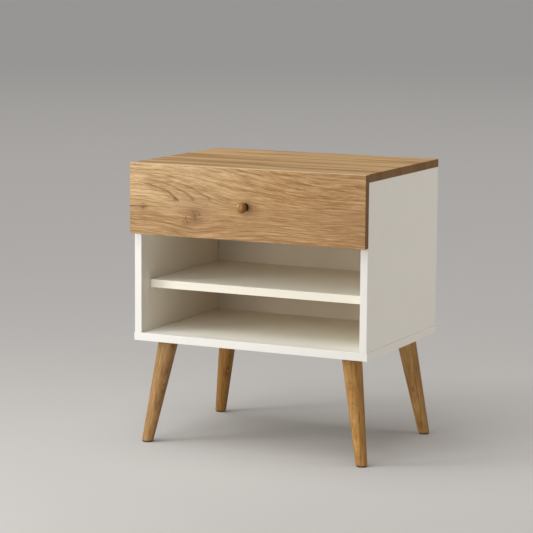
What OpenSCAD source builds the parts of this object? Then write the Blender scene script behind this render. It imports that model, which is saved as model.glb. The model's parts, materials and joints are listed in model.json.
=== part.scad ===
// Bedside table: white carcass on four splayed tapered legs, with an oak top,
// one oak-fronted drawer on roller slides and an open niche with a loose shelf.

/* [Carcass] */
// Width over the two side panels
body_w = 500; // [440:5:560]
// Depth of the side panels, without the drawer front
body_d = 358; // [350:1:400]
// Height from the underside of the bottom panel to the top surface
body_h = 356; // [340:2:400]
// Thickness of the side panels
side_t = 15; // [15:0.5:18]
// Thickness of the top, bottom, divider and shelf
board_t = 16; // [15:0.5:18]
// How far the bottom panel and the drawer front stand out past each side panel
overhang = 1.5; // [0.5:0.5:4]
// Thickness of the back panel, held in grooves
back_t = 3; // [3:0.5:5]
// Distance from the rear edges of the sides forward to the face of the back panel
back_inset = 21; // [18:1:30]

/* [Shelf] */
// Height of the shelf's upper face above the underside of the carcass
shelf_top_z = 119; // [90:1:140]
// Setback of the shelf behind the front edges of the sides
shelf_setback = 34; // [10:1:60]
// Gap between each end of the shelf and the side panel
shelf_gap = 1; // [0.5:0.5:2]
// Radius of a shelf pin
pin_r = 2.5; // [2:0.25:3]

/* [Drawer] */
// Height of the drawer front
front_h = 140; // [134:1:150]
// Thickness of the drawer front
front_t = 16; // [15:0.5:19]
// Gap between the closed drawer front and the carcass
front_gap = 1; // [1:0.25:2]
// Height of the sides of the drawer box
box_h = 80; // [74:1:84]
// Length of the sides of the drawer box
box_l = 300; // [290:5:310]
// Thickness of the sides and back of the drawer box
box_t = 12; // [12:0.5:13]
// Thickness of the drawer bottom
box_bottom_t = 3; // [3:0.5:4]

/* [Knob] */
// Largest diameter of the knob
knob_d = 22; // [18:1:30]
// How far the knob stands out from the drawer front
knob_out = 20; // [18:1:26]
// Height of the knob's centre above the lower edge of the drawer front
knob_z = 66; // [50:1:80]

/* [Legs] */
// Height from the floor to the underside of the carcass
leg_h = 209; // [150:1:260]
// Diameter of a leg where it meets the mounting plate
leg_top_d = 39.5; // [36:0.5:44]
// Diameter of a leg at the foot
leg_foot_d = 22.5; // [21:0.5:30]
// Distance of the leg tops from the middle plane, sideways
leg_x = 199; // [170:1:199]
// Distance of the front leg tops behind the front edges of the sides
leg_front_y = 48.5; // [44:0.5:70]
// Distance of the rear leg tops in front of the rear edges of the sides
leg_rear_y = 38; // [36:0.5:70]
// Sideways splay between the top and the foot of a leg
splay_x = 35; // [10:1:36]
// Splay to the front or the rear between the top and the foot of a leg
splay_y = 26.5; // [8:0.5:26.5]
// Thickness of the plastic glide under each foot
glide_t = 2.5; // [2:0.5:4]

/* [Slides] */
// Length of the drawer slides
slide_l = 300; // [290:5:300]
// Radius of the nylon rollers
roller_r = 10.5; // [9.5:0.25:10.5]
// Thickness of the sheet steel of the slides
sheet_t = 1.2; // [1:0.1:1.2]

/* [Hidden] */
$fn = 48;

OAK = [0.72, 0.55, 0.37];
OAK_LEG = [0.66, 0.46, 0.26];
WHITE = [0.93, 0.92, 0.90];
STEEL = [0.70, 0.71, 0.73];
ZINC = [0.62, 0.62, 0.60];
BEECH = [0.82, 0.66, 0.48];
NYLON = [0.95, 0.95, 0.93];
DARK = [0.13, 0.12, 0.11];

// Play around a fastener in its hole, and around a roller on its axle
play = 0.1;
running_play = 0.05;
// How far a cut runs out past the face that it opens
past = 1;
// Spare depth of a blind hole behind its fastener
spare = 0.5;

// The modules below work in a frame with x = 0 in the middle plane, y = 0 at the front edges
// of the sides, and z = 0 at the underside of the carcass. in_frame() sets it on the floor,
// with the origin in the middle of the overall outline.
front_out = front_gap + front_t + knob_out;
overall_d = body_d + front_out;
carcass_y = front_out - overall_d / 2;

inner_x = body_w / 2 - side_t;
side_mid_x = body_w / 2 - side_t / 2;
side_top_z = body_h - board_t;
back_y = body_d - back_inset;
groove_depth = 6;
groove_w = back_t + 2 * play;
back_tongue = groove_depth - spare;

front_z = body_h - front_h;
reveal = 2;
divider_z = front_z + reveal;
divider_mid_z = divider_z + board_t / 2;
divider_top_z = divider_z + board_t;
divider_front_y = 2;
divider_back_gap = 0.5;
shelf_back_gap = 1;

// Places of the fasteners along the depth
cam_ys = [55, 285];
top_dowel_ys = [120, 220];
bottom_screw_ys = [62, 262];
divider_dowel_y = 165;
pin_ys = [60, 300];
pin_l = 18;
pin_in_board = 8.5;
pin_z = shelf_top_z - board_t - pin_r;

// Cam lock and its bolt, in 15 to 16 mm board
cam_r = 7.5;
cam_depth = 12.5;
cam_reach = 34;
bolt_r = 3;
bolt_head_r = 3.6;
bolt_bore_r = 4;
bolt_grip = 11;

// Dowels: radius, and how deep they sit in a face and in an edge
dowel_r = 4;
dowel_face = 11;
dowel_edge = 22;
dowel_face_hole = dowel_face + spare;
dowel_edge_hole = dowel_edge + spare;

// Confirmat screw
confirmat_l = 50;
confirmat_head_r = 5;
confirmat_head_h = 3;
confirmat_collar_r = 3.5;
confirmat_collar_h = 12;
confirmat_r = 2.5;

// Leg, mounting plate and hanger bolt
plate_w = 58;
plate_t = 2.5;
plate_hole = 21;
boss_r = 8;
boss_h = 9;
pocket_r = 11.5;
pocket_h = 11;
hanger_r = 4;
hanger_in_leg = 36;
hanger_in_boss = 8;
leg_l = norm([splay_x, splay_y, leg_h]);
leg_tilt = acos(leg_h / leg_l);
glide_r = leg_foot_d / 2 - 1;
glide_stem_r = 2.5;
glide_stem_h = 11;

// Small wood screws: countersunk ones in the leg plates, flat-headed ones elsewhere
screw_r = 2;
screw_head_r = 4;
screw_head_h = 2;
screw_tip_h = 2;
screw_tip_r = 0.6;
plate_screw_l = 12;
flat_screw_l = 14;
flat_head_r = 3.8;
flat_head_h = 1.6;

// Roller slides, measured inwards from the side panel and upwards from the rail's lower edge
slide_gap = 13;
rail_y = 3;
rail_z = divider_top_z + 3;
channel_h = 2 * roller_r + 0.8;
rail_h = channel_h + 2 * sheet_t;
rail_flange = 9.5;
rail_mid_z = rail_z + rail_h / 2;
roller_in = 3.8;
roller_w = 5.6;
roller_out = roller_in + roller_w;
axle_r = 2.5;
axle_head_r = 4;
axle_head_h = 0.4;
axle_end = 0.5;
roller_rim = 2.5;
roller_hub = 2;
roller_dish = 0.8;
roller_lift = 0.3;
roller_end_gap = 2.5;
flange_end_gap = 3.5;
runner_low = 3.8;
runner_top = rail_h + 2;
runner_flange_in = 4;
runner_foot = 10;
rail_roller_y = rail_y + roller_r + roller_end_gap;
rail_roller_z = rail_z + runner_top - roller_lift - roller_r;
runner_roller_y = rail_y + slide_l - roller_r - roller_end_gap;
runner_roller_z = rail_z + sheet_t + roller_lift + roller_r;
rail_screw_ys = [50, 150, 245];
runner_screw_ys = [45, 150, 240];

// Drawer box
box_x = inner_x - slide_gap;
box_inner_x = box_x - box_t;
box_mid_x = box_x - box_t / 2;
box_z = rail_z + runner_low + sheet_t;
box_y = -front_gap;
box_end_y = box_y + box_l;
box_bottom_z = box_z + 10;
box_groove = 5;
box_tongue = box_groove - 0.4;
box_cam_r = 6;
box_cam_depth = 9.5;
box_cam_y = box_y + 24;
box_cam_zs = [box_z + 30, box_z + box_h - 16];
box_bolt_r = 2.5;
box_bolt_bore_r = 3;
box_bolt_grip = 10;
box_dowel_z = box_z + 48;
box_dowel_r = 3;
box_dowel_edge = 18;
box_screw_zs = [box_z + 36, box_z + box_h - 14];
box_screw_l = 38;
bottom_screw_xs = [-140, 0, 140];
runner_screw_x = box_x - 4;
bumper_r = 4;
bumper_h = front_gap - play;
bumper_inset = 11;

// Knob screw, driven from inside the drawer
knob_z_mid = front_z + knob_z;
knob_screw_r = 2;
knob_screw_head_r = 4;
knob_screw_head_h = 2.2;
knob_screw_in = 10;

module in_frame() {
    translate([0, carcass_y, leg_h]) children();
}

// The right-hand piece as drawn, or its mirror image on the left
module on_side(side) {
    if (side < 0) {
        mirror([1, 0, 0]) children();
    } else {
        children();
    }
}

module on_both_sides() {
    for (side = [-1, 1]) {
        on_side(side) children();
    }
}

module block(low, high) {
    translate(low) cube(high - low);
}

// Round bars that start at a point and run in the +X, +Y or +Z direction
module rod_x(from, r, l) {
    translate(from) rotate([0, 90, 0]) cylinder(r = r, h = l);
}

module rod_y(from, r, l) {
    translate(from) rotate([-90, 0, 0]) cylinder(r = r, h = l);
}

module rod_z(from, r, l) {
    translate(from) cylinder(r = r, h = l);
}

// ---- Fasteners, each standing on its head and driven towards +Z ----

module cross_recess(w = 4, h = 1.2) {
    for (a = [0, 90]) {
        rotate(a) translate([-w / 2, -w / 8, -play]) cube([w, w / 4, h + play]);
    }
}

module countersunk_screw(l) {
    difference() {
        union() {
            cylinder(r1 = screw_head_r, r2 = screw_r, h = screw_head_h);
            cylinder(r = screw_r, h = l - screw_tip_h);
            translate([0, 0, l - screw_tip_h]) cylinder(r1 = screw_r, r2 = screw_tip_r, h = screw_tip_h);
        }
        cross_recess();
    }
}

module countersunk_hole(l) {
    cylinder(r1 = screw_head_r + play, r2 = screw_r + play, h = screw_head_h);
    cylinder(r = screw_r + play, h = l);
}

module flat_head_screw() {
    difference() {
        union() {
            cylinder(r = flat_head_r, h = flat_head_h);
            cylinder(r = screw_r, h = flat_screw_l);
        }
        cross_recess(4, 1);
    }
}

module confirmat(l, extra = 0) {
    cylinder(r1 = confirmat_head_r + extra, r2 = confirmat_collar_r + extra, h = confirmat_head_h);
    cylinder(r = confirmat_collar_r + extra, h = confirmat_collar_h);
    cylinder(r = confirmat_r + extra, h = l + extra);
}

module confirmat_screw(l = confirmat_l) {
    socket_r = 2.2;
    socket_h = 2.5;
    difference() {
        confirmat(l);
        translate([0, 0, -play]) cylinder(r = socket_r, h = socket_h + play, $fn = 6);
    }
}

module dowel(l, r = dowel_r) {
    chamfer = 0.8;
    end = 1;
    cylinder(r1 = r - chamfer, r2 = r, h = end);
    translate([0, 0, end]) cylinder(r = r, h = l - 2 * end);
    translate([0, 0, l - end]) cylinder(r1 = r, r2 = r - chamfer, h = end);
}

// Cam lock: a disc with its slotted face at z = 0 and its open side towards +X
module cam_lock(r = cam_r, depth = cam_depth, bolt = bolt_head_r, mouth = board_t / 2) {
    difference() {
        cylinder(r = r - play, h = depth - play);
        rod_x([-bolt - past, 0, mouth], bolt + 2 * play, r + bolt + 2 * past);
        cross_recess(6, 1.6);
    }
}

// Cam bolt along +Z: the thread from z = 0, then the shank and the head in the cam
module cam_bolt(grip, reach, r = bolt_r, head_r = bolt_head_r) {
    head_h = 3;
    cylinder(r = r, h = grip);
    translate([0, 0, grip]) cylinder(r = r - 0.5, h = reach - head_h);
    translate([0, 0, grip + reach - head_h]) cylinder(r = head_r - 0.3, h = head_h);
}

// ---- Carcass panels ----

module top_panel() {
    color(OAK) in_frame() difference() {
        block([-body_w / 2, 0, side_top_z], [body_w / 2, body_d, body_h]);
        block([-inner_x - groove_depth, back_y - play, side_top_z - past],
              [inner_x + groove_depth, back_y - play + groove_w, side_top_z + groove_depth]);
        on_both_sides() {
            for (y = cam_ys) {
                rod_z([side_mid_x, y, side_top_z - past], bolt_r + play, bolt_grip + past + spare);
            }
            for (y = top_dowel_ys) {
                rod_z([side_mid_x, y, side_top_z - past], dowel_r + play, dowel_face_hole + past);
            }
        }
    }
}

module side_panel(side) {
    color(WHITE) in_frame() on_side(side) difference() {
        block([inner_x, 0, board_t], [body_w / 2, body_d, side_top_z]);
        block([inner_x - past, back_y - play, board_t - past],
              [inner_x + groove_depth, back_y - play + groove_w, side_top_z + past]);
        for (y = cam_ys) {
            rod_x([inner_x - past, y, side_top_z - cam_reach], cam_r, cam_depth + past);
            rod_z([side_mid_x, y, side_top_z - cam_reach], bolt_bore_r, cam_reach + past);
            rod_x([inner_x - past, y, divider_mid_z], bolt_r + play, bolt_grip + past + spare);
        }
        for (y = top_dowel_ys) {
            rod_z([side_mid_x, y, side_top_z - dowel_edge_hole], dowel_r + play, dowel_edge_hole + past);
            rod_z([side_mid_x, y, board_t - past], dowel_r + play, dowel_edge_hole + past);
        }
        rod_x([inner_x - past, divider_dowel_y, divider_mid_z], dowel_r + play, dowel_face_hole + past);
        for (y = bottom_screw_ys) {
            rod_z([side_mid_x, y, board_t - past], confirmat_r + play, confirmat_l - board_t + past + spare);
        }
        for (y = pin_ys) {
            rod_x([inner_x - past, y, pin_z], pin_r + play, pin_in_board + past + spare);
        }
        for (y = rail_screw_ys) {
            rod_x([inner_x - past, rail_y + y, rail_mid_z], screw_r + play, flat_screw_l - sheet_t - spare);
        }
    }
}

module side_panel_left() {
    side_panel(-1);
}

module side_panel_right() {
    side_panel(1);
}

module bottom_panel() {
    half_w = body_w / 2 + overhang;
    color(WHITE) in_frame() difference() {
        block([-half_w, 0, 0], [half_w, body_d, board_t]);
        block([-inner_x - groove_depth, back_y - play, board_t - groove_depth],
              [inner_x + groove_depth, back_y - play + groove_w, board_t + past]);
        on_both_sides() {
            for (y = bottom_screw_ys) {
                translate([side_mid_x, y, 0]) confirmat(confirmat_l, play);
            }
            for (y = top_dowel_ys) {
                rod_z([side_mid_x, y, board_t - dowel_face_hole], dowel_r + play, dowel_face_hole + past);
            }
        }
        for (sx = [-1, 1], sy = [-1, 1]) {
            at_leg_top(sx, sy) {
                rod_z([0, 0, -past], pocket_r, pocket_h + past);
                at_plate_corners() rod_z([0, 0, -plate_t], screw_r + play, plate_screw_l + spare / 2);
            }
        }
    }
}

module divider_panel() {
    color(WHITE) in_frame() difference() {
        block([-inner_x, divider_front_y, divider_z], [inner_x, back_y - divider_back_gap, divider_top_z]);
        on_both_sides() {
            for (y = cam_ys) {
                rod_z([inner_x - cam_reach, y, divider_z - past], cam_r, cam_depth + past);
                rod_x([inner_x - cam_reach, y, divider_mid_z], bolt_bore_r, cam_reach + past);
            }
            rod_x([inner_x - dowel_edge_hole, divider_dowel_y, divider_mid_z],
                  dowel_r + play, dowel_edge_hole + past);
        }
    }
}

module back_panel() {
    half_w = inner_x + back_tongue;
    color(WHITE) in_frame() block([-half_w, back_y, board_t - back_tongue],
                                  [half_w, back_y + back_t, side_top_z + back_tongue]);
}

module shelf() {
    half_l = inner_x - shelf_gap;
    color(WHITE) in_frame() block([-half_l, shelf_setback, shelf_top_z - board_t],
                                  [half_l, back_y - shelf_back_gap, shelf_top_z]);
}

module shelf_pins() {
    collar_t = shelf_gap / 2;
    color(STEEL) in_frame() on_both_sides() for (y = pin_ys) {
        translate([inner_x, y, pin_z]) {
            rod_x([pin_in_board - pin_l, 0, 0], pin_r, pin_l);
            // The collar is cut flat on top, level with the underside of the shelf
            difference() {
                rod_x([-collar_t, 0, 0], pin_r + 1.5, collar_t);
                block([-collar_t - past, -2 * pin_r, pin_r], [past, 2 * pin_r, 3 * pin_r]);
            }
        }
    }
}

module cam_locks() {
    color(ZINC) in_frame() on_both_sides() for (y = cam_ys) {
        // In the side panel, under the top
        translate([inner_x, y, side_top_z - cam_reach]) rotate([0, 90, 0]) rotate(180)
            cam_lock(mouth = side_t / 2);
        // In the divider's lower face
        translate([inner_x - cam_reach, y, divider_z]) cam_lock();
    }
}

module cam_bolts() {
    color(STEEL) in_frame() on_both_sides() for (y = cam_ys) {
        translate([side_mid_x, y, side_top_z + bolt_grip]) mirror([0, 0, 1]) cam_bolt(bolt_grip, cam_reach);
        translate([inner_x + bolt_grip, y, divider_mid_z]) rotate([0, -90, 0]) cam_bolt(bolt_grip, cam_reach);
    }
}

module dowels() {
    dowel_l = dowel_face + dowel_edge;
    color(BEECH) in_frame() on_both_sides() {
        for (y = top_dowel_ys) {
            translate([side_mid_x, y, side_top_z - dowel_edge]) dowel(dowel_l);
            translate([side_mid_x, y, board_t - dowel_face]) dowel(dowel_l);
        }
        translate([inner_x - dowel_edge, divider_dowel_y, divider_mid_z]) rotate([0, 90, 0]) dowel(dowel_l);
    }
}

module confirmat_screws() {
    color(STEEL) in_frame() on_both_sides() for (y = bottom_screw_ys) {
        translate([side_mid_x, y, 0]) confirmat_screw();
    }
}

// ---- Legs ----
// sx is -1 on the left and 1 on the right; sy is -1 at the front and 1 at the rear

module at_leg_top(sx, sy) {
    translate([sx * leg_x, sy < 0 ? leg_front_y : body_d - leg_rear_y, 0]) children();
}

// Turns the z axis along the leg, with the foot towards -z
module along_leg(sx, sy) {
    at_leg_top(sx, sy) rotate([0, -leg_tilt, atan2(sy * splay_y, sx * splay_x)]) children();
}

module at_foot(sx, sy) {
    at_leg_top(sx, sy) translate([sx * splay_x, sy * splay_y, -leg_h]) children();
}

module at_plate_corners() {
    for (x = [-plate_hole, plate_hole], y = [-plate_hole, plate_hole]) {
        translate([x, y, 0]) children();
    }
}

module leg(sx, sy) {
    excess = 20;
    taper = (leg_top_d - leg_foot_d) / 2 / leg_l;
    color(OAK_LEG) in_frame() difference() {
        intersection() {
            along_leg(sx, sy) translate([0, 0, -leg_l - excess])
                cylinder(r1 = leg_foot_d / 2 - taper * excess, r2 = leg_top_d / 2 + taper * excess,
                         h = leg_l + 2 * excess, $fn = 96);
            block([-body_w, -body_d, -leg_h + glide_t], [body_w, 2 * body_d, -plate_t]);
        }
        along_leg(sx, sy) rod_z([0, 0, -hanger_in_leg], hanger_r + play, 2 * hanger_in_leg);
        at_foot(sx, sy) cylinder(r = glide_stem_r + play, h = glide_t + glide_stem_h + spare);
    }
}

module leg_front_left() {
    leg(-1, -1);
}

module leg_front_right() {
    leg(1, -1);
}

module leg_rear_left() {
    leg(-1, 1);
}

module leg_rear_right() {
    leg(1, 1);
}

// Steel plate with a leaning threaded boss that sits in a pocket of the bottom panel
module leg_plate(sx, sy) {
    color(STEEL) in_frame() difference() {
        union() {
            at_leg_top(sx, sy) block([-plate_w / 2, -plate_w / 2, -plate_t], [plate_w / 2, plate_w / 2, 0]);
            intersection() {
                along_leg(sx, sy) rod_z([0, 0, -2 * boss_h], boss_r, 4 * boss_h);
                at_leg_top(sx, sy) block([-plate_w, -plate_w, -plate_t / 2], [plate_w, plate_w, boss_h]);
            }
        }
        along_leg(sx, sy) rod_z([0, 0, -2 * boss_h], hanger_r + play, 4 * boss_h);
        at_leg_top(sx, sy) at_plate_corners() translate([0, 0, -plate_t]) {
            countersunk_hole(plate_screw_l);
            translate([0, 0, -past]) cylinder(r = screw_head_r + play, h = past);
        }
    }
}

module leg_plate_front_left() {
    leg_plate(-1, -1);
}

module leg_plate_front_right() {
    leg_plate(1, -1);
}

module leg_plate_rear_left() {
    leg_plate(-1, 1);
}

module leg_plate_rear_right() {
    leg_plate(1, 1);
}

module hanger_bolts() {
    color(STEEL) in_frame() for (sx = [-1, 1], sy = [-1, 1]) {
        along_leg(sx, sy) translate([0, 0, 1 - hanger_in_leg])
            cylinder(r = hanger_r, h = hanger_in_leg - 1 + hanger_in_boss);
    }
}

module leg_plate_screws() {
    color(STEEL) in_frame() for (sx = [-1, 1], sy = [-1, 1]) {
        at_leg_top(sx, sy) at_plate_corners() translate([0, 0, -plate_t])
            countersunk_screw(plate_screw_l);
    }
}

module glide(sx, sy) {
    chamfer = 0.8;
    color(DARK) in_frame() at_foot(sx, sy) {
        cylinder(r1 = glide_r - chamfer, r2 = glide_r, h = chamfer);
        translate([0, 0, chamfer]) cylinder(r = glide_r, h = glide_t - chamfer);
        cylinder(r = glide_stem_r, h = glide_t + glide_stem_h);
    }
}

module glide_front_left() {
    glide(-1, -1);
}

module glide_front_right() {
    glide(1, -1);
}

module glide_rear_left() {
    glide(-1, 1);
}

module glide_rear_right() {
    glide(1, 1);
}

// ---- Roller slides ----

// Places a piece by its distance in from the side panel and up from the rail's lower edge
module slide_block(in_0, y_0, up_0, in_1, y_1, up_1) {
    block([inner_x - in_1, y_0, rail_z + up_0], [inner_x - in_0, y_1, rail_z + up_1]);
}

// Channel screwed to the side panel; its upper flange stops short of the front roller
module rail(side) {
    rail_end = rail_y + slide_l;
    flange_start = rail_roller_y + roller_r + flange_end_gap;
    hole_l = sheet_t + 2 * past;
    color(WHITE) in_frame() on_side(side) difference() {
        union() {
            slide_block(0, rail_y, 0, sheet_t, rail_end, rail_h);
            slide_block(0, rail_y, 0, rail_flange, rail_end, sheet_t);
            slide_block(0, flange_start, rail_h - sheet_t, rail_flange, rail_end, rail_h);
        }
        rod_x([inner_x - sheet_t - past, rail_roller_y, rail_roller_z], axle_r + play, hole_l);
        for (y = rail_screw_ys) {
            rod_x([inner_x - sheet_t - past, rail_y + y, rail_mid_z], screw_r + play, hole_l);
        }
    }
}

module rail_left() {
    rail(-1);
}

module rail_right() {
    rail(1);
}

// Rivet that carries a roller: it stands in the sheet and has a head past the roller
module axle(l) {
    cylinder(r = axle_r, h = l);
    translate([0, 0, l - axle_head_h]) cylinder(r = axle_head_r, h = axle_head_h);
}

module rail_axles() {
    color(STEEL) in_frame() on_both_sides()
        translate([inner_x - play, rail_roller_y, rail_roller_z]) rotate([0, -90, 0])
            axle(roller_out + axle_end - play);
}

module rail_screws() {
    color(STEEL) in_frame() on_both_sides() for (y = rail_screw_ys) {
        translate([inner_x - sheet_t - flat_head_h, rail_y + y, rail_mid_z]) rotate([0, 90, 0])
            flat_head_screw();
    }
}

// Nylon wheel with a dished face on each side
module roller() {
    difference() {
        cylinder(r = roller_r, h = roller_w, $fn = 96);
        translate([0, 0, -past]) cylinder(r = axle_r + running_play, h = roller_w + 2 * past);
        for (z = [-past, roller_w - roller_dish]) {
            translate([0, 0, z]) difference() {
                cylinder(r = roller_r - roller_rim, h = roller_dish + past);
                cylinder(r = axle_r + roller_hub, h = roller_dish + past);
            }
        }
    }
}

module rail_roller(side) {
    color(NYLON) in_frame() on_side(side)
        translate([inner_x - roller_out, rail_roller_y, rail_roller_z]) rotate([0, 90, 0]) roller();
}

module rail_roller_left() {
    rail_roller(-1);
}

module rail_roller_right() {
    rail_roller(1);
}

// Profile under the drawer side; its upper flange rides on the rail's front roller
module runner(side) {
    runner_end = rail_y + slide_l;
    web_in = slide_gap - sheet_t;
    foot_in = slide_gap + runner_foot;
    hole_l = sheet_t + 2 * past;
    color(WHITE) in_frame() on_side(side) difference() {
        union() {
            slide_block(web_in, rail_y, runner_low, slide_gap, runner_end, runner_top + sheet_t);
            slide_block(web_in, rail_y, runner_low, foot_in, runner_end, runner_low + sheet_t);
            slide_block(runner_flange_in, rail_y, runner_top, slide_gap, runner_end, runner_top + sheet_t);
        }
        rod_x([inner_x - slide_gap - past, runner_roller_y, runner_roller_z], axle_r + play, hole_l);
        for (y = runner_screw_ys) {
            rod_z([runner_screw_x, rail_y + y, rail_z + runner_low - past], screw_r + play, hole_l);
        }
    }
}

module runner_left() {
    runner(-1);
}

module runner_right() {
    runner(1);
}

module runner_axles() {
    color(STEEL) in_frame() on_both_sides()
        translate([inner_x - slide_gap + play, runner_roller_y, runner_roller_z]) rotate([0, 90, 0])
            axle(slide_gap - play - roller_in + axle_end);
}

module runner_screws() {
    color(STEEL) in_frame() on_both_sides() for (y = runner_screw_ys) {
        translate([runner_screw_x, rail_y + y, rail_z + runner_low - flat_head_h]) flat_head_screw();
    }
}

module runner_roller(side) {
    color(NYLON) in_frame() on_side(side)
        translate([inner_x - roller_out, runner_roller_y, runner_roller_z]) rotate([0, 90, 0]) roller();
}

module runner_roller_left() {
    runner_roller(-1);
}

module runner_roller_right() {
    runner_roller(1);
}

// ---- Drawer ----

module drawer_front() {
    half_w = body_w / 2 + overhang;
    color(OAK) in_frame() difference() {
        block([-half_w, box_y - front_t, front_z], [half_w, box_y, body_h]);
        // Groove for the drawer bottom
        block([-box_inner_x - box_groove, box_y - box_groove, box_bottom_z - play],
              [box_inner_x + box_groove, box_y + past, box_bottom_z + box_bottom_t + play]);
        on_both_sides() {
            for (z = box_cam_zs) {
                rod_y([box_mid_x, box_y - box_bolt_grip - spare, z],
                      box_bolt_r + play, box_bolt_grip + spare + past);
            }
            rod_y([box_mid_x, box_y - dowel_face_hole, box_dowel_z],
                  box_dowel_r + play, dowel_face_hole + past);
        }
        rod_y([0, box_y - front_t - past, knob_z_mid], knob_screw_r + play, front_t + 2 * past);
    }
}

module drawer_side(side) {
    color(WHITE) in_frame() on_side(side) difference() {
        block([box_inner_x, box_y, box_z], [box_x, box_end_y, box_z + box_h]);
        block([box_inner_x - past, box_y - past, box_bottom_z - play],
              [box_inner_x + box_groove, box_end_y + past, box_bottom_z + box_bottom_t + play]);
        for (z = box_cam_zs) {
            rod_x([box_inner_x - past, box_cam_y, z], box_cam_r, box_cam_depth + past);
            rod_y([box_mid_x, box_y - past, z], box_bolt_bore_r, box_cam_y - box_y + past);
        }
        rod_y([box_mid_x, box_y - past, box_dowel_z], box_dowel_r + play, box_dowel_edge + past + spare);
        for (z = box_screw_zs) {
            translate([box_x, box_end_y - box_t / 2, z]) rotate([0, -90, 0]) confirmat(box_screw_l, play);
        }
        for (y = runner_screw_ys) {
            rod_z([runner_screw_x, rail_y + y, box_z - past], screw_r + play, flat_screw_l - sheet_t - spare);
        }
    }
}

module drawer_side_left() {
    drawer_side(-1);
}

module drawer_side_right() {
    drawer_side(1);
}

module drawer_back() {
    low_z = box_bottom_z + box_bottom_t + play;
    color(WHITE) in_frame() difference() {
        block([-box_inner_x, box_end_y - box_t, low_z], [box_inner_x, box_end_y, box_z + box_h]);
        on_both_sides() for (z = box_screw_zs) {
            translate([box_x, box_end_y - box_t / 2, z]) rotate([0, -90, 0]) confirmat(box_screw_l, play);
        }
        for (x = bottom_screw_xs) {
            rod_z([x, box_end_y - box_t / 2, low_z - past], screw_r + play, flat_screw_l - box_bottom_t);
        }
    }
}

module drawer_bottom() {
    color(WHITE) in_frame() difference() {
        block([-box_inner_x - box_tongue, box_y - box_tongue, box_bottom_z],
              [box_inner_x + box_tongue, box_end_y, box_bottom_z + box_bottom_t]);
        for (x = bottom_screw_xs) {
            rod_z([x, box_end_y - box_t / 2, box_bottom_z - past], screw_r + play, box_bottom_t + 2 * past);
        }
    }
}

module drawer_cam_locks() {
    color(ZINC) in_frame() on_both_sides() for (z = box_cam_zs) {
        translate([box_inner_x, box_cam_y, z]) rotate([0, 90, 0]) rotate(-90)
            cam_lock(box_cam_r, box_cam_depth, box_bolt_r, box_t / 2);
    }
}

module drawer_cam_bolts() {
    color(STEEL) in_frame() on_both_sides() for (z = box_cam_zs) {
        translate([box_mid_x, box_y - box_bolt_grip, z]) rotate([-90, 0, 0])
            cam_bolt(box_bolt_grip, box_cam_y - box_y, box_bolt_r, box_bolt_r);
    }
}

module drawer_dowels() {
    color(BEECH) in_frame() on_both_sides()
        translate([box_mid_x, box_y - dowel_face, box_dowel_z]) rotate([-90, 0, 0])
            dowel(dowel_face + box_dowel_edge, box_dowel_r);
}

module drawer_confirmats() {
    color(STEEL) in_frame() on_both_sides() for (z = box_screw_zs) {
        translate([box_x, box_end_y - box_t / 2, z]) rotate([0, -90, 0]) confirmat_screw(box_screw_l);
    }
}

module drawer_bottom_screws() {
    color(STEEL) in_frame() for (x = bottom_screw_xs) {
        translate([x, box_end_y - box_t / 2, box_bottom_z - flat_head_h]) flat_head_screw();
    }
}

// Soft pads on the back of the front, which meet the edges of the side panels
module drawer_bumpers() {
    color(NYLON) in_frame() on_both_sides() for (z = [front_z + bumper_inset, side_top_z - bumper_inset]) {
        rod_y([side_mid_x, box_y, z], bumper_r, bumper_h);
    }
}

// ---- Knob ----

function arc(centre, radius, from, to, steps) =
    [for (i = [0:steps]) let (a = from + (to - from) * i / steps) centre + radius * [cos(a), sin(a)]];

// Turned knob: a foot, a stout neck and a rounded head with a tiny flat on its crown. The outline
// is radius against distance from the drawer front.
module knob() {
    head_r = knob_d / 2;
    neck_r = 0.66 * head_r;
    foot_r = 0.76 * head_r;
    flat_r = 0.6;
    rim = 3.2;
    crown = 4.65;
    rim_h = knob_out - crown;
    outline = concat(
        [[0, 0], [foot_r, 0], [foot_r, 1]],
        arc([foot_r, 1 + foot_r - neck_r], foot_r - neck_r, 270, 180, 6),
        [[neck_r, rim_h - rim - 2]],
        arc([head_r - rim, rim_h], rim, -60, 0, 5),
        [for (i = [1:15]) let (a = 90 * i / 16) [head_r * cos(a), rim_h + crown * sin(a)]],
        [[flat_r, knob_out], [0, knob_out]]
    );
    color(OAK_LEG) in_frame() translate([0, box_y - front_t, knob_z_mid]) rotate([90, 0, 0]) difference() {
        rotate_extrude($fn = 96) polygon(outline);
        rod_z([0, 0, -past], knob_screw_r + play, knob_screw_in + past + spare);
    }
}

module knob_screw() {
    start_y = box_y + knob_screw_head_h;
    shank_l = front_t + knob_screw_in;
    color(STEEL) in_frame() translate([0, start_y, knob_z_mid]) rotate([90, 0, 0]) difference() {
        union() {
            cylinder(r = knob_screw_head_r, h = knob_screw_head_h);
            cylinder(r = knob_screw_r, h = knob_screw_head_h + shank_l);
        }
        cross_recess();
    }
}

top_panel();
side_panel_left();
side_panel_right();
bottom_panel();
divider_panel();
back_panel();
shelf();
shelf_pins();
cam_locks();
cam_bolts();
dowels();
confirmat_screws();
leg_front_left();
leg_front_right();
leg_rear_left();
leg_rear_right();
leg_plate_front_left();
leg_plate_front_right();
leg_plate_rear_left();
leg_plate_rear_right();
hanger_bolts();
leg_plate_screws();
glide_front_left();
glide_front_right();
glide_rear_left();
glide_rear_right();
rail_left();
rail_right();
rail_axles();
rail_screws();
rail_roller_left();
rail_roller_right();
runner_left();
runner_right();
runner_axles();
runner_screws();
runner_roller_left();
runner_roller_right();
drawer_front();
drawer_side_left();
drawer_side_right();
drawer_back();
drawer_bottom();
drawer_cam_locks();
drawer_cam_bolts();
drawer_dowels();
drawer_confirmats();
drawer_bottom_screws();
drawer_bumpers();
knob();
knob_screw();
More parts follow.
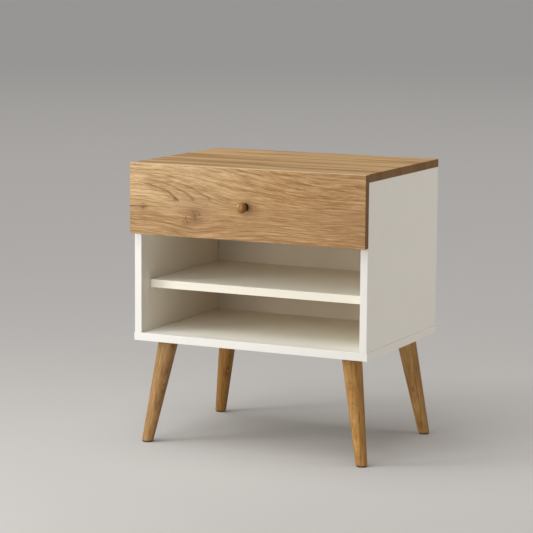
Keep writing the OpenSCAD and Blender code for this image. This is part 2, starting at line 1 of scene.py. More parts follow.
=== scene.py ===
"""Looks of the nightstand: satin oak veneer, white melamine board, turned oak legs and the steel
and plastic of its fittings, on a pale studio floor. Pieces and lights are in metres, and the
materials are worked out in millimetres."""

import json
import math

import bmesh
import bpy
from mathutils import Matrix, Vector


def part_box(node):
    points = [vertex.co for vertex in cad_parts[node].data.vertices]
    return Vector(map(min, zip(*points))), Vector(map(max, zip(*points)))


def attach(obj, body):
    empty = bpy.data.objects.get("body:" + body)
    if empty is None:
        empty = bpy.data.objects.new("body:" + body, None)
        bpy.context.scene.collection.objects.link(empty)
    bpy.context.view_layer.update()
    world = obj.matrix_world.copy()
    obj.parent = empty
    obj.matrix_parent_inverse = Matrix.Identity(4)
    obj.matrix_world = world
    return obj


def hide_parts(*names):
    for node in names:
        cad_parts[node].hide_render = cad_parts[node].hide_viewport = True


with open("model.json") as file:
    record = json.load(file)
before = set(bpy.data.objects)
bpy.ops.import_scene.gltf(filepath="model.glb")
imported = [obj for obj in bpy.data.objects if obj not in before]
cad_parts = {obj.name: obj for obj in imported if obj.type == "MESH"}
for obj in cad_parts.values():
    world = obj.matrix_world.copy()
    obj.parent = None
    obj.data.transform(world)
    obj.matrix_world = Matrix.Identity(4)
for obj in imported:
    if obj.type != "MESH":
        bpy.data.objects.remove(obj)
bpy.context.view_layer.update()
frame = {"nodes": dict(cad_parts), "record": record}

MM = 1000.0                         # millimetres in a metre

record = frame["record"]
body_of_node = {n: body for body, nodes in record["behaviour"]["bodies"].items() for n in nodes}
slot_of_node = {part["node"]: part["material_slot"] for part in record["subparts"]}


# ---- Node arithmetic -------------------------------------------------------------------------

class Wire:
    """A node's output. Arithmetic on wires adds Math nodes to the same material."""

    def __init__(self, graph, socket):
        self.graph = graph
        self.socket = socket

    def __add__(self, other):
        return self.graph.math("ADD", self, other)

    def __radd__(self, other):
        return self.graph.math("ADD", other, self)

    def __sub__(self, other):
        return self.graph.math("SUBTRACT", self, other)

    def __rsub__(self, other):
        return self.graph.math("SUBTRACT", other, self)

    def __mul__(self, other):
        return self.graph.math("MULTIPLY", self, other)

    def __truediv__(self, other):
        return self.graph.math("DIVIDE", self, other)

    def __pow__(self, power):
        return self.graph.math("POWER", self, power)

    def __abs__(self):
        return self.graph.math("ABSOLUTE", self)


class Graph:
    """One material: its Principled shader, and the nodes that drive it."""

    def __init__(self, name):
        self.material = bpy.data.materials.new(name)
        self.material.use_nodes = True
        self.tree = self.material.node_tree
        self.shader = self.tree.nodes["Principled BSDF"]

    def node(self, kind, **settings):
        made = self.tree.nodes.new(kind)
        for name, value in settings.items():
            setattr(made, name, value)
        return made

    def put(self, socket, value):
        """Links a wire to a socket, or sets a plain value on it."""
        if isinstance(value, Wire):
            self.tree.links.new(value.socket, socket)
        else:
            socket.default_value = value

    def math(self, operation, *values):
        made = self.node("ShaderNodeMath", operation=operation)
        for socket, value in zip(made.inputs, values):
            self.put(socket, value)
        return Wire(self, made.outputs[0])

    def most(self, value, *others):
        """The greatest of the values."""
        for other in others:
            value = self.math("MAXIMUM", value, other)
        return value

    def split(self, output):
        """The x, y and z of one of the surface's coordinates."""
        coordinates = self.node("ShaderNodeTexCoord")
        parts = self.node("ShaderNodeSeparateXYZ")
        self.tree.links.new(coordinates.outputs[output], parts.inputs[0])
        return [Wire(self, out) for out in parts.outputs]

    def place(self):
        """The surface's x, y and z in the part's frame, in millimetres."""
        return [part * MM for part in self.split("Object")]

    def facing(self, axis):
        """How far the surface faces along an axis, from -1 to 1."""
        return self.split("Normal")["xyz".index(axis)]

    def noise(self, x, y, z, detail=2.0, roughness=0.5):
        """Noise from 0 to 1, about one lump to each whole step of x, y and z."""
        point = self.node("ShaderNodeCombineXYZ")
        for socket, value in zip(point.inputs, (x, y, z)):
            self.put(socket, value)
        made = self.node("ShaderNodeTexNoise", noise_dimensions="3D")
        self.tree.links.new(point.outputs[0], made.inputs["Vector"])
        for name, value in (("Scale", 1.0), ("Detail", detail), ("Roughness", roughness)):
            made.inputs[name].default_value = value
        return Wire(self, made.outputs["Fac"])

    def chance(self, value):
        """A number from 0 to 1 that is picked anew for each whole value."""
        made = self.node("ShaderNodeTexWhiteNoise", noise_dimensions="1D")
        self.put(made.inputs["W"], self.math("FLOOR", value))
        return Wire(self, made.outputs["Value"])

    def step(self, value, first, last, start=0.0, end=1.0):
        """Goes smoothly from start to end while value goes from first to last, up or down."""
        made = self.node("ShaderNodeMapRange", interpolation_type="SMOOTHSTEP")
        ends = (("From Min", first), ("From Max", last), ("To Min", start), ("To Max", end))
        for name, number in ends:
            made.inputs[name].default_value = number
        self.put(made.inputs["Value"], value)
        return Wire(self, made.outputs["Result"])

    def bell(self, value, width):
        """1 where value is 0, falling off over width on both sides."""
        scaled = value / width
        return self.math("EXPONENT", scaled * scaled * -1.0)

    def mix(self, share, first, second, blend="MIX"):
        """The first colour, with share of it given over to the second."""
        made = self.node("ShaderNodeMix", data_type="RGBA", blend_type=blend)
        self.put(made.inputs["Factor"], share)
        colours = [s for s in made.inputs if s.type == "RGBA"]
        for socket, value in zip(colours, (first, second)):
            self.put(socket, value if isinstance(value, Wire) else (*value, 1.0))
        return Wire(self, next(s for s in made.outputs if s.type == "RGBA"))

    def tint(self, colour, by, share=1.0):
        """A colour multiplied by another one, as far as share says."""
        return self.mix(share, colour, by, blend="MULTIPLY")

    def bump(self, height, distance):
        """Surface relief: height goes from 0 to 1 over distance, in metres."""
        made = self.node("ShaderNodeBump")
        made.inputs["Distance"].default_value = distance
        self.put(made.inputs["Height"], height)
        return Wire(self, made.outputs["Normal"])

    def finish(self, colour, roughness, normal=None, **uniform):
        """Feeds the shader. uniform holds the values that are the same all over."""
        self.put(self.shader.inputs["Base Color"], colour)
        self.put(self.shader.inputs["Roughness"], roughness)
        if normal is not None:
            self.put(self.shader.inputs["Normal"], normal)
        for name, value in uniform.items():
            socket = name.replace("_", " ").title().replace("Ior", "IOR")
            self.shader.inputs[socket].default_value = value
        return self.material


# ---- Oak -------------------------------------------------------------------------------------

OAK_PALE = (0.660, 0.435, 0.225)
OAK_LIGHT = (0.540, 0.325, 0.145)
OAK_MID = (0.420, 0.232, 0.088)
OAK_DARK = (0.225, 0.102, 0.028)
OAK_PORE = (0.120, 0.054, 0.018)
OAK_BLUSH = (0.345, 0.182, 0.080)   # the brown patch round the drawer front's knots
OAK_BAND = (0.300, 0.155, 0.060)    # the broad bands of the top board
OAK_ARRIS_HIGHLIGHT = (0.840, 0.640, 0.420)   # the drawer front's paler upper edge, with a painted highlight along its rounding
OAK_EDGE = (0.135, 0.060, 0.012)    # the end faces of the top board and drawer front
# Painted shade on the knob's neck.
OAK_NECK_SHADE = (0.034, 0.013, 0.003)    # the knob's neck
EDGE_SHARE = 0.85                   # how much of an end face's colour is OAK_EDGE


def oak(graph, along, fibre, ring, spacing, contrast=1.0, length=1.0):
    """Colour and relief of oak, with all lengths in millimetres. along runs with the fibres and
    fibre across them. ring is the distance from the heart of the tree, so that each growth ring
    is a line on which it stays the same. length stretches the streaks."""
    along = along / length
    drift = graph.noise(along * 0.006, ring * 0.05, 1.3, detail=3.0)
    phase = ring / spacing + drift * 2.0
    share = graph.math("FRACT", phase)
    early = graph.step(share, 0.0, 0.55, 1.0, 0.0) * graph.step(share, 0.0, 0.06)
    line = early * graph.chance(phase)
    broad = graph.noise(along * 0.006, fibre * 0.035, 3.7)
    band = graph.noise(along * 0.010, fibre * 0.16, 5.9, roughness=0.55)
    streak = graph.noise(along * 0.022, fibre * 0.46, 9.1, detail=3.0, roughness=0.62)
    hair = graph.noise(along * 0.045, fibre * 1.9, 12.4, roughness=0.6)
    pore = graph.step(graph.noise(along * 0.11, fibre * 2.4, 20.3, detail=1.0), 0.58, 0.72)

    tone = graph.step(broad * 0.5 + band * 0.5, 0.36, 0.64)
    colour = graph.mix((tone - 0.5) * contrast + 0.5, OAK_LIGHT, OAK_MID)
    colour = graph.mix(graph.step(streak, 0.50, 0.68) * 0.75 * contrast, colour, OAK_DARK)
    colour = graph.mix(graph.step(streak, 0.48, 0.32) * 0.75 * contrast, colour, OAK_PALE)
    colour = graph.mix(graph.step(hair, 0.50, 0.68) * 0.46 * contrast, colour, OAK_DARK)
    colour = graph.mix(graph.step(hair, 0.46, 0.30) * 0.50 * contrast, colour, OAK_PALE)
    colour = graph.mix(line * (0.25 + streak * 0.5) * contrast, colour, OAK_DARK)
    colour = graph.mix(pore * (0.12 + line * 0.5), colour, OAK_PORE)
    relief = 0.6 - pore * (0.2 + line * 0.4) - hair * 0.2
    return colour, relief


def oak_ends(graph, colour):
    """Darkens the narrow end faces of a board whose grain runs along x."""
    ends = graph.step(abs(graph.facing("x")), 0.6, 0.8)
    return graph.mix(ends * EDGE_SHARE, colour, OAK_EDGE)


def oak_finish(graph, colour, relief, rough, deep=0.0003, specular=0.30, **uniform):
    """Satin oak, rougher in its pores. Its relief is deep metres high."""
    rough = rough + (1.0 - relief) * 0.15
    normal = graph.bump(relief, deep)
    return graph.finish(colour, rough, normal, specular_ior_level=specular, **uniform)


# ---- Drawer front ------------------------------------------------------------------------------

# Where the front's grain is unlike a plain board's, in millimetres. u runs to the right from the
# front's upper left corner, and v runs down.
HEART = 81.0                        # the line down to which the arches come
KNOT = (143.0, 98.0)
SECOND_KNOT = (126.0, 111.0)
BLUSH = (144.0, 97.0)               # the middle of the brown patch round the knots
EYE = (100.0, 67.0)                 # a dark spot near the tip of the innermost arch
CRACK = 85.0                        # how far down the crack at the left edge lies
CRACK_KNOT = (30.0, 86.0)
UNDER_LINE = 113.0                  # a dark line along the fibres, under the knots

# An arch's tip lies where ARCH_HEIGHT * tanh(u / ARCH_LENGTH) is the arch's radius.
ARCH_LENGTH = 170.0
ARCH_HEIGHT = 78.0
ARCHES = (
    # radius, half width, strength
    (44.0, 1.0, 1.00), (53.7, 1.2, 0.62), (61.3, 0.8, 0.50), (67.5, 0.8, 0.42),
)

DASH_CURVE = 0.03
DASH_STRENGTH = 0.85
DASHES = (
    # u, v, half length, half width, lean in degrees below level, strength
    (140.5, 89.5, 4.6, 1.3, 42.0, 0.85), (143.5, 98.0, 6.0, 2.2, 64.0, 1.00),
    (154.0, 94.0, 4.2, 1.5, 38.0, 1.00), (148.0, 88.0, 3.4, 1.1, 30.0, 0.70),
    (124.5, 104.0, 5.4, 1.9, 96.0, 0.75), (129.0, 109.0, 4.0, 1.7, 66.0, 0.90),
    (119.5, 109.5, 3.2, 1.5, 70.0, 0.75), (135.0, 109.5, 3.2, 1.4, 60.0, 0.70),
    (170.0, 74.0, 2.2, 1.2, 0.0, 0.80), (36.0, 85.0, 3.8, 1.4, 20.0, 1.00),
    (31.5, 81.0, 2.8, 1.2, 60.0, 0.90), (104.5, 68.5, 3.0, 1.1, 10.0, 0.85),
)

BLEACHED = (1.26, 1.40, 1.66)       # tint of the front's upper left
WARMER = (1.0, 0.955, 0.87)         # tint of its right


def spot(graph, u, v, centre, size):
    """1 at a spot on the front, fading out over size."""
    far = ((u - centre[0]) ** 2.0 + (v - centre[1]) ** 2.0) ** 0.5
    return graph.bell(far, size)


def front_fibre(graph, u, v, wander, ripple):
    """The front's fibres: each is a line on which this stays the same. They fall gently to the
    right and sag under the knots."""
    upper = graph.step(u, 50.0, 260.0) * 24.0
    upper = upper * graph.step(v, -25.0, 70.0) * graph.step(v, 70.0, 94.0, 1.0, 0.0)
    lower = graph.step(u, 150.0, 430.0) * 18.0 * graph.step(v, 50.0, 128.0, 1.0, 0.1)
    sag = graph.bell(u - KNOT[0], 52.0) * graph.step(v, 88.0, 116.0) * 9.0
    return v - upper - lower - sag + wander * 5.0 + ripple * 2.5


def front_arches(graph, u, v, wander, ripple):
    """Arches of dark grain above the heart, open to the left, with a soft shade inside each."""
    drop = v - HEART + u * 0.03 + wander * 6.0
    rise = graph.math("TANH", u / ARCH_LENGTH) * ARCH_HEIGHT
    ring = (drop * drop + rise * rise) ** 0.5 + ripple * 3.0
    dark = 0.0
    for radius, width, strength in ARCHES:
        shade = graph.bell(ring - radius + width * 3.0, width * 3.2) * 0.35
        dark = (graph.bell(ring - radius, width) + shade) * strength + dark
    worn = graph.step(graph.noise(u * 0.05, v * 0.05, 8.0), 0.28, 0.52, 0.35, 1.0)
    return dark * graph.step(drop, -4.0, -12.0) * graph.step(u, 12.0, 45.0) * worn


def front_dashes(graph, u, v):
    """The short dark lines of the front's knots, crack and eye."""
    dark = 0.0
    for centre_u, centre_v, length, width, lean, strength in DASHES:
        cosine = math.cos(math.radians(lean))
        sine = math.sin(math.radians(lean))
        along = (u - centre_u) * cosine + (v - centre_v) * sine
        across = (v - centre_v) * cosine - (u - centre_u) * sine
        curved = across + along * along * DASH_CURVE
        mark = graph.bell(along, length) * graph.bell(curved, width)
        dark = graph.most(mark * strength, dark)
    return dark * DASH_STRENGTH


def front_knots(graph, u, v):
    """The two knots, darkest in slanting streaks."""
    streaks = graph.noise((u * 0.80 + v * 0.60) * 0.13, (v * 0.80 - u * 0.60) * 0.50, 2.0)
    around = graph.most(spot(graph, u, v, KNOT, 11.0), spot(graph, u, v, SECOND_KNOT, 6.5) * 0.8)
    return around * (graph.step(streaks, 0.44, 0.58) * 0.55 + 0.16)


def front_tones(graph, colour, u, v, fibre):
    """The front's broad tones: bleached at the upper left, warmer to the right, brown round the
    knots, and with livelier streaks below and to the right."""
    bleached = graph.step(u, 360.0, 60.0) * graph.step(v, 112.0, 50.0)
    colour = graph.tint(colour, BLEACHED, bleached)
    colour = graph.tint(colour, WARMER, graph.step(u, 120.0, 400.0))
    blush = spot(graph, u, v, BLUSH, 30.0) * 0.75 + graph.step(v, 78.0, 96.0) * 0.2
    blush = blush + graph.step(u, 240.0, 480.0) * 0.22
    colour = graph.mix(blush, colour, OAK_BLUSH)
    grain = graph.noise(u * 0.015, fibre * 0.36, 40.0, detail=3.0, roughness=0.6)
    lively = graph.most(graph.step(u, 130.0, 300.0), graph.step(v, 74.0, 100.0))
    colour = graph.mix(graph.step(grain, 0.50, 0.64) * 0.48 * lively, colour, OAK_DARK)
    return graph.mix(graph.step(grain, 0.48, 0.35) * 0.52 * lively, colour, OAK_PALE)


def oak_front_material():
    """Drawer front: arches of grain, two knots under them, a crack at the left edge, and a paler upper edge
    with a painted highlight along its rounding. The grain carries on over that edge, because v runs back
    along it."""
    graph = Graph("oak_front")
    x, y, z = graph.place()
    low, high = (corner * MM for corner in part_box("drawer_front"))
    u = x - low.x
    v = high.z - z - (y - low.y)
    wander = graph.noise(u * 0.012, v * 0.010, 0.5) - 0.5
    ripple = graph.noise(u * 0.030, v * 0.060, 4.0) - 0.5
    fibre = front_fibre(graph, u, v, wander, ripple)
    colour, relief = oak(graph, u, fibre * 1.25, fibre * 0.9, spacing=7.5, length=0.85)
    colour = front_tones(graph, colour, u, v, fibre)

    crack_line = v - CRACK + u * 0.030 + ripple * 5.0
    heart_line = graph.bell(crack_line, 1.4) * graph.step(u, 96.0, 140.0, 0.5, 0.0)
    under_line = graph.bell(fibre - UNDER_LINE, 0.9) * graph.step(u, 200.0, 330.0, 0.5, 0.0)
    lines = front_arches(graph, u, v, wander, ripple) + heart_line + under_line
    colour = graph.mix(graph.math("MINIMUM", lines, 0.8), colour, OAK_DARK)

    crack = graph.bell(crack_line, 0.8) * graph.step(u, 30.0, 44.0, 1.0, 0.0)
    specks = graph.noise(u * 0.16 + v * 0.12, v * 0.34 - u * 0.20, 2.0)
    crack_knot = spot(graph, u, v, CRACK_KNOT, 6.5) * graph.step(specks, 0.40, 0.56)
    eye = spot(graph, u, v, EYE, 3.6)
    short = front_dashes(graph, u + ripple * 5.0, v + wander * 4.0)
    dark = graph.most(front_knots(graph, u, v), short, eye * 0.7, crack * 0.85, crack_knot * 0.9)
    colour = graph.mix(dark, colour, OAK_PORE)

    colour = oak_ends(graph, colour)
    # Painted highlight: the upward rounding of the front's upper edge is painted pale, and its top face
    # less strongly.
    upward = graph.facing("z")
    arris_highlight = graph.step(upward, 0.15, 0.4) * graph.step(upward, 0.90, 0.99, 1.0, 0.45)
    colour = graph.mix(arris_highlight * 0.95, colour, OAK_ARRIS_HIGHLIGHT)
    return oak_finish(graph, colour, relief - dark * 0.3, rough=0.44)


# ---- Top board, legs and knob ------------------------------------------------------------------

TOP_TINT = (1.38, 1.46, 1.56)
TOP_LEFT_TINT = (1.13, 1.15, 1.18)
NEAR_BAND = 72.0                    # the top's two dark bands, in millimetres from its front edge
FAR_BAND = 186.0


def oak_top_material():
    """Top board: long straight grain in broad bands, with two darker bands at the left."""
    graph = Graph("oak_top")
    x, y, z = graph.place()
    bend = (graph.noise(x * 0.004, y * 0.010, 7.0) - 0.5) * 18.0
    fibre = y + bend + z * 0.3
    colour, relief = oak(graph, x, fibre, fibre * 0.8, spacing=9.0, contrast=0.68, length=2.2)
    colour = graph.tint(colour, TOP_TINT)

    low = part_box("top_panel")[0] * MM
    u = x - low.x
    depth = y - low.y + bend
    band = graph.noise(x * 0.0022, fibre * 0.034, 31.0, roughness=0.6)
    near = graph.bell(depth - NEAR_BAND + graph.step(u, 190.0, 400.0) * 38.0, 13.0)
    near = near * graph.step(u, -40.0, 60.0) * graph.step(u, 450.0, 280.0)
    far = graph.bell(depth - FAR_BAND, 15.0) * graph.step(u, 300.0, 140.0)
    bands = graph.step(band, 0.49, 0.60) * 0.54 + near * 0.62 + far * 0.28
    colour = graph.mix(graph.step(band, 0.48, 0.39) * 0.55, colour, OAK_PALE)
    colour = graph.mix(graph.math("MINIMUM", bands, 0.7), colour, OAK_BAND)
    colour = graph.tint(colour, TOP_LEFT_TINT, graph.step(u, 300.0, 20.0))
    colour = oak_ends(graph, colour)
    return oak_finish(graph, colour, relief, rough=0.52)


def oak_turned_material(name, top, lean, heart, tint, shade_tint=(0.76, 0.72, 0.66),
                        shade_range=(-2.0, 14.0), neck=None, rough=0.44, **uniform):
    """Turned oak: the grain runs along the piece, from top in the direction lean per unit of fall. heart is
    where the middle of the tree was, beside the piece. Over the range inner, towards the right and the
    back, painted shade gives the wood the tint browner. Over the range neck, towards the back, painted
    shade turns it dark. top is in metres, and heart and both ranges are in millimetres from it."""
    graph = Graph(name)
    x, y, z = graph.place()
    top = top * MM
    fall = top.z - z
    side = x - top.x - fall * lean[0]
    depth = y - top.y - fall * lean[1]
    ring = ((side - heart[0]) ** 2.0 + (depth - heart[1]) ** 2.0) ** 0.5
    fibre = ring * 0.9 + side * 0.4
    colour, relief = oak(graph, fall, fibre, ring, spacing=4.2, contrast=0.80)
    colour = graph.tint(colour, tint)
    # Painted shade: the wood is darkened towards the right and the back, the side turned from the light.
    painted_shade_side = graph.step(side * 0.90 + depth * 0.43, *shade_range)
    colour = graph.tint(colour, shade_tint, painted_shade_side)
    # Painted shade: the neck, behind the knob's head, turns dark.
    if neck:
        colour = graph.mix(graph.step(depth, *neck), colour, OAK_NECK_SHADE)
    return oak_finish(graph, colour, relief, rough, deep=0.0002, specular=0.25, **uniform)


# Each leg is turned from its own piece of oak. Its tint also holds painted light and shade: paler for a leg
# that stands in brighter light, such as the front left one, and darker for one in shade.
LEG_TINT_AND_LIGHT = {
    ("front", "left"): (0.92, 0.90, 0.84),
    ("front", "right"): (0.98, 0.87, 0.58),
    ("rear", "left"): (0.72, 0.60, 0.33),
    ("rear", "right"): (0.99, 0.94, 0.76),
}
HEART_ASIDE = {"left": -30.0, "right": 30.0}
HEART_BEHIND = {"front": 35.0, "rear": 53.0}


def leg_material(end, side):
    """The oak of one leg, with its grain along the line from its plate to its glide, a tint that holds
    painted light, and painted shade on its right side.
    """
    node = f"leg_{end}_{side}"
    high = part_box(node)[1]
    plate_low, plate_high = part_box(f"leg_plate_{end}_{side}")
    glide_low, glide_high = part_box(f"glide_{end}_{side}")
    plate = (plate_low + plate_high) / 2
    foot = (glide_low + glide_high) / 2
    top = Vector((plate.x, plate.y, high.z))
    height = top.z - glide_low.z
    lean = ((foot.x - top.x) / height, (foot.y - top.y) / height)
    heart = (HEART_ASIDE[side], HEART_BEHIND[end])
    return oak_turned_material(f"oak_{node}", top, lean, heart, LEG_TINT_AND_LIGHT[end, side])


def knob_material():
    """The knob's oak, under a thin lacquer, with painted shade on its right side and on its neck."""
    low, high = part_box("knob")
    return oak_turned_material("oak_knob", top=(low + high) / 2, lean=(0.0, 0.0), heart=(14.0, 20.0),
                               tint=(0.86, 0.68, 0.34), shade_tint=(0.50, 0.42, 0.20),
                               shade_range=(-10.0, 4.0), neck=(-9.0, 6.0), rough=0.34,
                               coat_weight=0.40, coat_roughness=0.10)


# ---- Board, metal and plastic ------------------------------------------------------------------

# Each pair is a surface's two shades, between which it drifts.
MELAMINE = ((0.862, 0.840, 0.800), (0.848, 0.824, 0.782))
HARDBOARD = ((0.760, 0.670, 0.535), (0.740, 0.650, 0.515))
BEECH = ((0.66, 0.46, 0.30), (0.58, 0.39, 0.24))
BEECH_FLECK = (0.36, 0.20, 0.11)

# Each pair is the tint of the niche's faces at its front and at its back, which paints light and shade into
# the niche: paler near the open front, warmer and darker deeper in.
NICHE_UPRIGHT_LIGHT = ((1.10, 1.06, 0.97), (1.07, 0.97, 0.84))
NICHE_LEVEL_LIGHT = ((1.12, 1.13, 1.10), (1.12, 1.04, 0.92))


def drifting(graph, cloud, shades):
    """A colour that drifts between two shades, as cloud does."""
    return graph.mix(graph.step(cloud, 0.3, 0.7), *shades)


def white_board_material():
    """Satin white melamine. Inside the niche, light and shade are painted in: the faces are paler at its
    front and warmer and darker towards its back, and those that face up are painted a little paler than the
    upright ones."""
    graph = Graph("white_board")
    x, y, z = graph.place()
    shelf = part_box("shelf")[1] * MM
    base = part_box("bottom_panel")[0] * MM
    within = graph.step(abs(x), shelf.x + 3.0, shelf.x + 2.0)
    within = within * graph.step(y, base.y + 1.0, base.y + 30.0)
    within = within * graph.step(z, base.z + 1.0, base.z + 8.0)
    # Painted light and shade in the niche, by depth and by which way a face looks.
    inward = graph.step(y, base.y + 10.0, shelf.y)
    upright = graph.mix(inward, *NICHE_UPRIGHT_LIGHT)
    level = graph.mix(inward, *NICHE_LEVEL_LIGHT)
    niche_light = graph.mix(graph.step(graph.facing("z"), 0.5, 0.8), upright, level)
    pearl = graph.noise(x * 0.9, y * 0.9, z * 0.9, detail=3.0)
    cloud = graph.noise(x * 0.012, y * 0.012, z * 0.012, detail=3.0)
    colour = graph.tint(drifting(graph, cloud, MELAMINE), niche_light, within)
    return graph.finish(colour, 0.46 + pearl * 0.12, graph.bump(pearl, 0.00008))


def hardboard_material():
    """Painted hardboard: a fine woven press mark under pale paint."""
    graph = Graph("white_hardboard")
    x, y, z = graph.place()
    weave = graph.noise(x * 0.7, y * 0.7, z * 0.7, detail=3.0, roughness=0.7)
    cloud = graph.noise(x * 0.02, y * 0.02, z * 0.02, detail=3.0)
    colour = drifting(graph, cloud, HARDBOARD)
    return graph.finish(colour, 0.52 + weave * 0.14, graph.bump(weave, 0.00012))


def metal_material(name, colour, rough, cloudy, pits=0.0):
    """Plated or cast metal: cloudy tone, fine scratches and, when cast, small pits."""
    graph = Graph(name)
    x, y, z = graph.place()
    cloud = graph.noise(x * 0.25, y * 0.25, z * 0.25, detail=4.0, roughness=0.6)
    scratch = graph.noise(x * 0.5 + z * 0.3, y * 6.0, z * 6.0 + x * 0.4)
    pit = graph.step(graph.noise(x * 2.5, y * 2.5, z * 2.5, detail=1.0), 0.66, 0.78) * pits
    darker = tuple(c * (1.0 - 3.0 * cloudy) for c in colour)
    pitted = tuple(c * 0.4 for c in colour)
    shade = graph.mix(pit, drifting(graph, cloud, (colour, darker)), pitted)
    surface = rough - 0.06 + cloud * 0.14 + scratch * 0.08 + pit * 0.2
    return graph.finish(shade, surface, graph.bump(scratch * 0.4 - pit, 0.00006), metallic=1.0)


def moulded_material(name, colour, rough, peel, size):
    """Powder coat or moulded plastic: an even tone with a fine peel. It is peel metres deep and
    has about size lumps to a millimetre."""
    graph = Graph(name)
    x, y, z = graph.place()
    skin = graph.noise(x * size, y * size, z * size)
    cloud = graph.noise(x * 0.08, y * 0.08, z * 0.08, detail=3.0)
    shade = drifting(graph, cloud, (colour, tuple(c * 0.94 for c in colour)))
    return graph.finish(shade, rough - 0.05 + skin * 0.12, graph.bump(skin, peel))


def beech_material():
    """Beech dowels: pale pink-brown with short dark flecks along x."""
    graph = Graph("beech")
    x, y, z = graph.place()
    fleck = graph.step(graph.noise(x * 0.35, y * 1.4, z * 1.4), 0.56, 0.70)
    tone = graph.noise(x * 0.08, y * 0.3, z * 0.3, detail=3.0)
    colour = graph.mix(fleck * 0.5, drifting(graph, tone, BEECH), BEECH_FLECK)
    return graph.finish(colour, 0.58 + fleck * 0.1, graph.bump(1.0 - fleck, 0.00008))


# ---- Pieces ------------------------------------------------------------------------------------

SHARP = math.radians(40)
FLAT = math.radians(0.5)            # faces that meet at less than this become one
SHORT = 0.012                       # shorter edges, such as those round a hole, aren't rounded
AT_FOOT = 0.0005                    # how near a leg's lower end the edges of its foot lie

# Radii of the rounded edges.
FRONT_EDGE = 0.0009
BOARD_EDGE = 0.0007
HARDBOARD_EDGE = 0.0004
SLIDE_EDGE = 0.0003
PLATE_EDGE = 0.0004
GLIDE_EDGE = 0.0006
FOOT_EDGE = 0.0022


def long_edge(edge):
    return edge.calc_length() > SHORT


def any_edge(edge):
    return True


def foot_edge(node):
    """A test for the edges at a leg's lower end."""
    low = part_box(node)[0]
    return lambda edge: all(abs(v.co.z - low.z) < AT_FOOT for v in edge.verts)


def rounded(node, radius, pick=long_edge, segments=3):
    """A copy of a CAD node, which stands for the node. Its sharp edges are rounded where pick
    says so."""
    bm = bmesh.new()
    bm.from_mesh(frame["nodes"][node].data)
    bmesh.ops.remove_doubles(bm, verts=bm.verts[:], dist=1e-6)
    bmesh.ops.dissolve_limit(bm, angle_limit=FLAT, verts=bm.verts[:], edges=bm.edges[:])
    edges = [e for e in bm.edges if e.is_manifold and e.calc_face_angle() > SHARP and pick(e)]
    bmesh.ops.bevel(bm, geom=edges, offset=radius, offset_type="OFFSET", segments=segments,
                    profile=0.5, affect="EDGES", clamp_overlap=False)
    mesh = bpy.data.meshes.new(node + "_finished")
    bm.to_mesh(mesh)
    bm.free()
    if "custom_normal" in mesh.attributes:
        mesh.attributes.remove(mesh.attributes["custom_normal"])
    mesh.materials.clear()
    piece = bpy.data.objects.new(node + "_finished", mesh)
    bpy.context.scene.collection.objects.link(piece)
    mesh.shade_smooth()
    mesh.set_sharp_from_angle(angle=SHARP)
    weighted = piece.modifiers.new("even_normals", "WEIGHTED_NORMAL")
    weighted.keep_sharp = True
    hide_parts(node)
    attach(piece, body_of_node[node])
    return piece


def paint(piece, material):
    if piece.data.materials:
        for slot in piece.material_slots:
            slot.link = "OBJECT"
            slot.material = material
    else:
        piece.data.materials.append(material)


# The finish of each material slot. Oak isn't here, because the oak pieces have their own.
FINISH = {
    "white_board": white_board_material(),
    "white_hardboard": hardboard_material(),
    "beech": beech_material(),
    "steel": metal_material("zinc_plated_steel", (0.66, 0.67, 0.68), 0.30, cloudy=0.10),
    "zinc_alloy": metal_material("cast_zinc", (0.52, 0.52, 0.51), 0.46, cloudy=0.05, pits=0.4),
    "white_steel": moulded_material("coated_steel", (0.84, 0.84, 0.82), 0.36, peel=0.00006, size=0.6),
    "nylon": moulded_material("nylon", (0.80, 0.80, 0.77), 0.40, peel=0.00003, size=1.6),
    "bumper_gel": moulded_material("bumper_gel", (0.78, 0.78, 0.76), 0.20, peel=0.00002, size=0.9),
    "glide_plastic": moulded_material("glide_plastic", (0.095, 0.060, 0.038), 0.50, peel=0.00008, size=1.8),
}


def dress(node, radius, pick=long_edge):
    """Rounds a CAD node's edges and gives it the finish of its slot."""
    paint(rounded(node, radius, pick), FINISH[slot_of_node[node]])


for node in ("side_panel_left", "side_panel_right", "bottom_panel", "divider_panel", "shelf",
             "drawer_side_left", "drawer_side_right", "drawer_back"):
    dress(node, BOARD_EDGE)
for node in ("back_panel", "drawer_bottom"):
    dress(node, HARDBOARD_EDGE)
for side in ("left", "right"):
    for node in ("rail_" + side, "runner_" + side):
        dress(node, SLIDE_EDGE)
    for end in ("front", "rear"):
        dress(f"leg_plate_{end}_{side}", PLATE_EDGE)
        dress(f"glide_{end}_{side}", GLIDE_EDGE, pick=any_edge)
paint(rounded("drawer_front", FRONT_EDGE), oak_front_material())
paint(rounded("top_panel", BOARD_EDGE), oak_top_material())
for side in ("left", "right"):
    for end in ("front", "rear"):
        node = f"leg_{end}_{side}"
        leg = rounded(node, FOOT_EDGE, pick=foot_edge(node), segments=4)
        paint(leg, leg_material(end, side))
paint(frame["nodes"]["knob"], knob_material())
for node, piece in frame["nodes"].items():
    if not piece.hide_render and slot_of_node[node] in FINISH:
        paint(piece, FINISH[slot_of_node[node]])


# ---- Floor, light and camera -------------------------------------------------------------------

FLOOR_RADIUS = 90.0
FLOOR_NEAR = ((0.575, 0.552, 0.536), (0.561, 0.538, 0.522))
# Painted shade: the floor is darker far away, standing in for light that falls off with distance.
FLOOR_FAR_SHADE = (0.440, 0.425, 0.415)
FLOOR_SHADE_FADE = (3000.0, 16000.0)      # where the floor goes over to FLOOR_FAR_SHADE, in millimetres
SOFTBOX_SPREAD = math.radians(150)


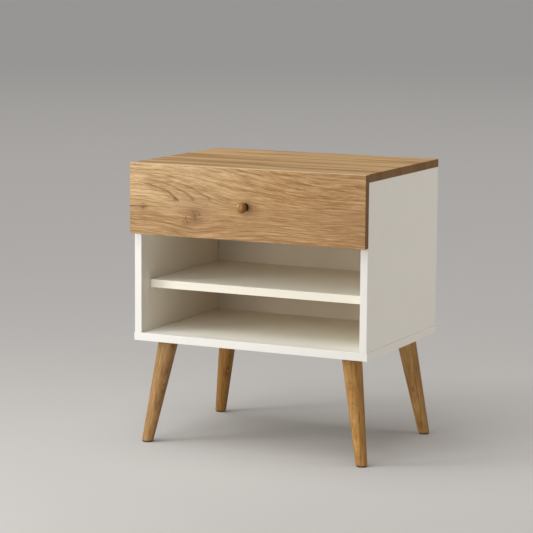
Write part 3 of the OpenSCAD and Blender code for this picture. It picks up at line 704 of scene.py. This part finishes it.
def floor():
    """A wide, matt floor, with painted shade that makes it slightly darker far away."""
    bm = bmesh.new()
    bmesh.ops.create_circle(bm, cap_ends=True, segments=96, radius=FLOOR_RADIUS)
    mesh = bpy.data.meshes.new("studio_floor")
    bm.to_mesh(mesh)
    bm.free()
    piece = bpy.data.objects.new("studio_floor", mesh)
    bpy.context.scene.collection.objects.link(piece)
    graph = Graph("studio_floor")
    x, y = graph.place()[:2]
    cloud = graph.noise(x * 0.004, y * 0.004, 0.0, detail=3.0)
    reach = (x * x + y * y) ** 0.5
    # Painted shade far from the piece.
    colour = graph.mix(graph.step(reach, *FLOOR_SHADE_FADE), graph.mix(cloud, *FLOOR_NEAR), FLOOR_FAR_SHADE)
    mesh.materials.append(graph.finish(colour, 0.85, specular_ior_level=0.15))


def hang(name, lamp, direction, place=(0.0, 0.0, 0.0)):
    """Puts a lamp into the scene, so that it shines in a direction."""
    holder = bpy.data.objects.new(name, lamp)
    holder.location = place
    holder.rotation_mode = "QUATERNION"
    holder.rotation_quaternion = direction.to_track_quat("-Z", "Y")
    bpy.context.scene.collection.objects.link(holder)


def softbox(name, place, target, size, power, colour):
    """A square soft box at place that shines at target."""
    lamp = bpy.data.lights.new(name, "AREA")
    lamp.shape = "SQUARE"
    lamp.size = size
    lamp.energy = power
    lamp.spread = SOFTBOX_SPREAD
    lamp.color = colour
    hang(name, lamp, Vector(target) - Vector(place), place)


def overhead(toward, spread, strength, colour):
    """The broad soft light above, spread degrees wide."""
    lamp = bpy.data.lights.new("overhead", "SUN")
    lamp.angle = math.radians(spread)
    lamp.energy = strength
    lamp.color = colour
    hang("overhead", lamp, Vector(toward))


def surroundings(colour, strength):
    """Weak, even light from all round."""
    world = bpy.data.worlds.new("studio")
    world.use_nodes = True
    background = world.node_tree.nodes["Background"]
    background.inputs["Color"].default_value = (*colour, 1.0)
    background.inputs["Strength"].default_value = strength
    bpy.context.scene.world = world


def camera(target, azimuth, elevation, distance, lens, roll):
    """Looks at target from azimuth round to the right of the front. Its angles are in degrees."""
    data = bpy.data.cameras.new("camera")
    data.sensor_width = 36.0
    data.lens = lens
    data.clip_end = 200.0
    round_by = math.radians(azimuth)
    up_by = math.radians(elevation)
    level = math.cos(up_by)
    back = Vector((math.sin(round_by) * level, -math.cos(round_by) * level, math.sin(up_by)))
    tilt = Matrix.Rotation(math.radians(roll), 3, "Z")
    turn = (-back).to_track_quat("-Z", "Y").to_matrix() @ tilt
    holder = bpy.data.objects.new("camera", data)
    holder.matrix_world = Matrix.Translation(Vector(target) + back * distance) @ turn.to_4x4()
    bpy.context.scene.collection.objects.link(holder)
    bpy.context.scene.camera = holder


floor()
surroundings(colour=(1.0, 0.970, 0.940), strength=0.145)
overhead(toward=(0.22, 0.31, -1.0), spread=64.0, strength=1.96, colour=(0.99, 1.0, 1.0))
softbox("left_key", place=(-1.60, -1.35, 0.85), target=(0.0, 0.0, 0.35), size=0.7, power=11.4,
        colour=(0.95, 1.0, 0.97))
softbox("front_fill", place=(-0.50, -2.06, 0.62), target=(0.0, 0.0, 0.27), size=1.0, power=7.8,
        colour=(1.0, 0.97, 0.92))
softbox("right_fill", place=(2.14, 0.38, 0.66), target=(0.0, 0.0, 0.30), size=1.1, power=7.5,
        colour=(1.0, 0.95, 0.84))
side_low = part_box("side_panel_right")[0]
camera(target=(0.0392, side_low.y, 0.3767), azimuth=25.665, elevation=8.258, distance=4.1192,
       lens=144.83, roll=0.426)
bpy.context.scene.view_settings.view_transform = "Standard"
